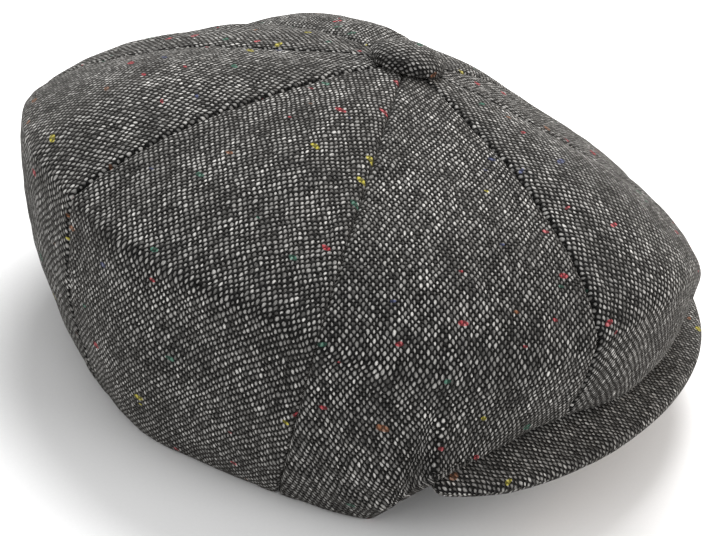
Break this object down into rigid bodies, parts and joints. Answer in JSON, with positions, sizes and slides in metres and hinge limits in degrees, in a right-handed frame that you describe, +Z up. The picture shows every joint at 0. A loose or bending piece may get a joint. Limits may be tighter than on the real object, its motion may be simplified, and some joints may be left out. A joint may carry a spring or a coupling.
{
  "type": "newsboy cap",
  "caption": "Grey salt-and-pepper tweed newsboy cap with panelled crown, covered top button, stiffened peak, sweatband and satin lining.",
  "frame": {"origin": "on the surface the cap rests on, under the middle of the cap, 2.45 mm to the wearer's left of the middle plane of the peak and the head opening", "axes": "+Z up, the peak points along -Y, +X is the wearer's left"},
  "size_m": [0.2498, 0.2465, 0.116],
  "materials": {
    "tweed": "rough salt-and-pepper wool tweed with coloured flecks",
    "satin_lining": "smooth black satin",
    "sweatband": "black cotton twill tape",
    "piping": "black satin piping",
    "stiffener": "undyed buckram",
    "peak_board": "plain flexible plastic board",
    "button_metal": "plain pressed metal"
  },
  "bodies": {
    "root": {"crown_panel_1": "tweed", "crown_panel_2": "tweed", "crown_panel_3": "tweed", "crown_panel_4": "tweed", "crown_panel_5": "tweed", "crown_panel_6": "tweed", "crown_panel_7": "tweed", "crown_panel_8": "tweed", "lining_panel_1": "satin_lining", "lining_panel_2": "satin_lining", "lining_panel_3": "satin_lining", "lining_panel_4": "satin_lining", "lining_panel_5": "satin_lining", "lining_panel_6": "satin_lining", "lining_panel_7": "satin_lining", "lining_panel_8": "satin_lining", "peak_top_cover": "tweed", "peak_under_cover": "tweed", "peak_board": "peak_board", "sweatband": "sweatband", "band_stiffener": "stiffener", "sweatband_piping": "piping", "button_cover": "tweed", "button_shell": "button_metal", "button_back": "button_metal", "button_washer": "button_metal"}
  },
  "joints": []
}
